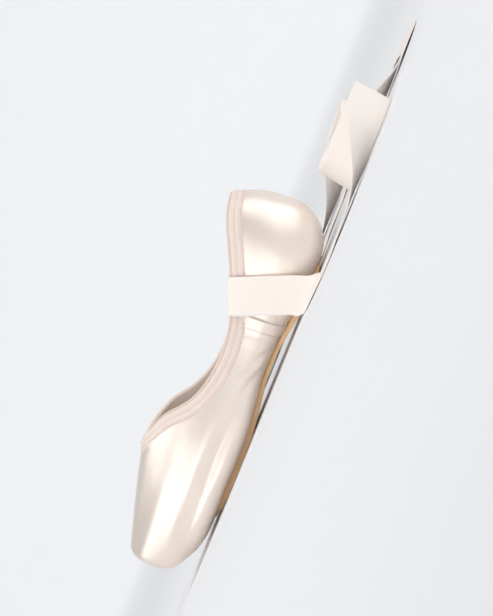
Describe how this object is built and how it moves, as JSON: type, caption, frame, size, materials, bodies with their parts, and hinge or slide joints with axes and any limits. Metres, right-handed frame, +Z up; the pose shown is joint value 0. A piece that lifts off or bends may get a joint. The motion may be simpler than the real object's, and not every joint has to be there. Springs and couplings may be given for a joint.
{
  "type": "pointe shoe",
  "caption": "Satin ballet pointe shoe with a hollow boxed toe, drawstring collar, short leather outsole, insole and two sewn-in ribbons lying loose.",
  "frame": {"origin": "on the floor below the middle of the shoe without its ribbons, half way between heel back and toe platform", "axes": "+X points to the toe, +Z up, +Y to the wearer's left side of the shoe"},
  "size_m": [0.3343, 0.2478, 0.0612],
  "materials": {
    "satin": "pale pink-cream satin with a soft sheen",
    "binding": "matt cotton casing, slightly pinker than the satin",
    "outsole": "pale tan suede-faced leather with darker cut edges",
    "insole": "off-white canvas sock lining",
    "ribbon": "matt cream satin ribbon"
  },
  "bodies": {
    "root": {"upper": "satin", "binding": "binding", "outsole": "outsole", "insole": "insole", "ribbon_left": "ribbon", "ribbon_right": "ribbon"}
  },
  "joints": []
}
